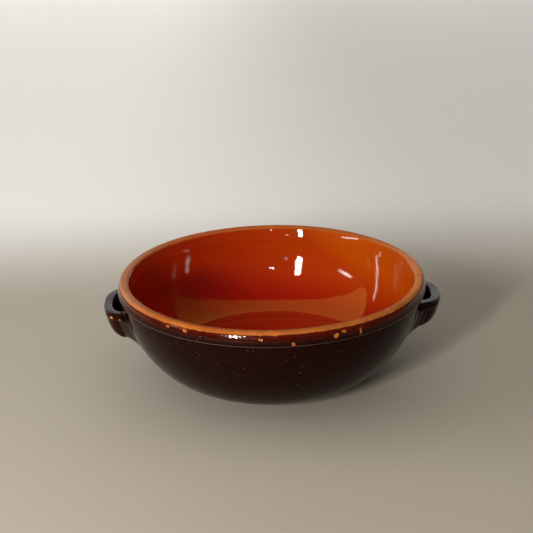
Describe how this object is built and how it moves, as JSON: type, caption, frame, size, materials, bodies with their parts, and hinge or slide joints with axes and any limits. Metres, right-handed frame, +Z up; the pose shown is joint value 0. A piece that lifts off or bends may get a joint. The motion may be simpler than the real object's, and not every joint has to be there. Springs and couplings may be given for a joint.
{
  "type": "handled bowl",
  "caption": "Round low earthenware bowl with a bare clay lip over a raised collar, glazed inside and out, and an ear handle luted to each side, for cooking and serving.",
  "frame": {"origin": "middle of the foot, on the surface that the bowl stands on", "axes": "+Z up out of the bowl, X through both handles with the left handle at -X, front at -Y"},
  "size_m": [0.2852, 0.26, 0.087],
  "materials": {
    "bare_terracotta": "matte bare fired clay",
    "clear_glaze": "glossy clear glaze over orange-red clay",
    "dark_glaze": "glossy dark brown glaze with pinholes"
  },
  "bodies": {
    "root": {"bowl_body": "bare_terracotta", "inner_glaze": "clear_glaze", "outer_glaze": "dark_glaze", "handle_left": "dark_glaze", "handle_right": "dark_glaze", "left_front_luting": "dark_glaze", "left_back_luting": "dark_glaze", "right_front_luting": "dark_glaze", "right_back_luting": "dark_glaze"}
  },
  "joints": []
}
